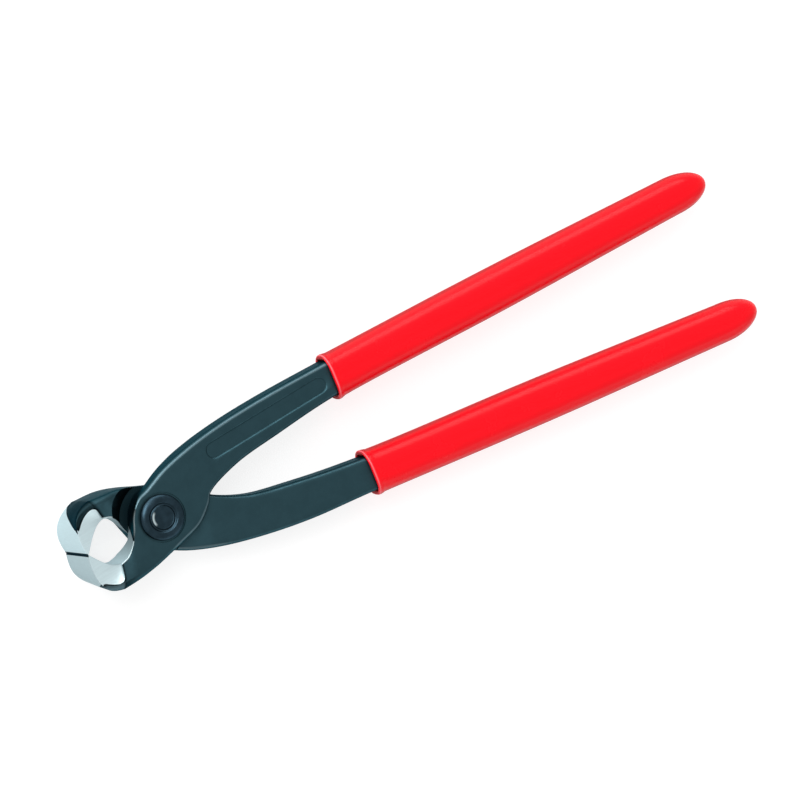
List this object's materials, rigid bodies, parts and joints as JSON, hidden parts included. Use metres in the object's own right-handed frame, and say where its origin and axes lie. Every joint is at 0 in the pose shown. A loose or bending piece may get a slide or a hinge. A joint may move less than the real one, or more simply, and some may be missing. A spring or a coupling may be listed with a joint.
{
  "type": "concreters' nippers",
  "caption": "End-cutting nippers for twisting and cutting tie wire: crossed forged levers on a rivet, broad curved jaws with ground cutting edges, long handles with dipped red grips.",
  "frame": {"origin": "middle of the tool's length and width, on the surface that the jaws' rear rims rest on", "axes": "+X from the jaws to the ends of the grips, +Z along the pivot axis towards the front lever's face, +Y towards the front lever's handle"},
  "size_m": [0.22, 0.0518, 0.0205],
  "materials": {
    "blackened_steel": "forged tool steel, blackened and oiled, satin; the jaws are ground bright round the cutting edges",
    "rivet_steel": "blackened steel, pressed smooth, with a little bare metal round the dimple",
    "red_dip": "soft dipped plastic, glossy and smooth"
  },
  "bodies": {
    "rear_half": {"rear_lever": "blackened_steel", "rear_grip": "red_dip", "pivot_rivet": "rivet_steel"},
    "front_half": {"front_lever": "blackened_steel", "front_grip": "red_dip"}
  },
  "joints": [
    {"name": "pivot", "type": "hinge", "parent": "rear_half", "child": "front_half", "pos_m": [-0.0836, 0, 0.01025], "axis": [0, 0, 1], "range_deg": [0, 22]}
  ]
}
